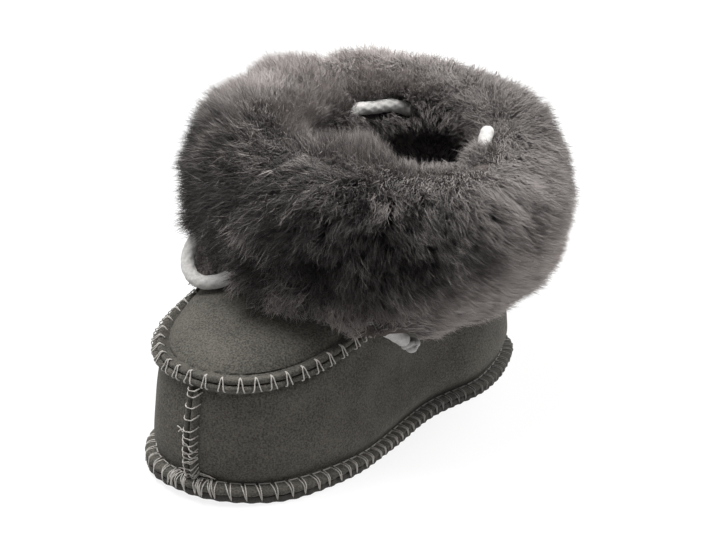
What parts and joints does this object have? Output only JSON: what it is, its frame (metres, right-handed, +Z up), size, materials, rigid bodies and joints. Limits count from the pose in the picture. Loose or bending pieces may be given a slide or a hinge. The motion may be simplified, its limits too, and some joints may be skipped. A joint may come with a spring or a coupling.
{
  "type": "sheepskin bootie",
  "caption": "Baby's soft sheepskin bootie with a turned-down fur cuff, raised hand-sewn seams, a soft suede sole and a cord drawstring.",
  "frame": {"origin": "on the floor under the middle of the foot, on the sole's flat bottom", "axes": "+Y from toe to heel, +Z up, +X to the outer side of the left foot"},
  "size_m": [0.1165, 0.1551, 0.0971],
  "materials": {
    "suede": "grey suede with a fine nap",
    "sole_suede": "darker grey suede",
    "wool": "cropped grey wool",
    "fur": "long grey sheepskin pile",
    "cord": "braided off-white cord"
  },
  "bodies": {
    "root": {"sole": "sole_suede", "upper": "suede", "vamp": "suede", "insole": "wool", "fur_cuff": "fur", "drawstring_loop": "cord", "drawstring_end": "cord", "drawstring_bar_medial": "cord", "drawstring_bar_lateral": "cord"}
  },
  "joints": []
}
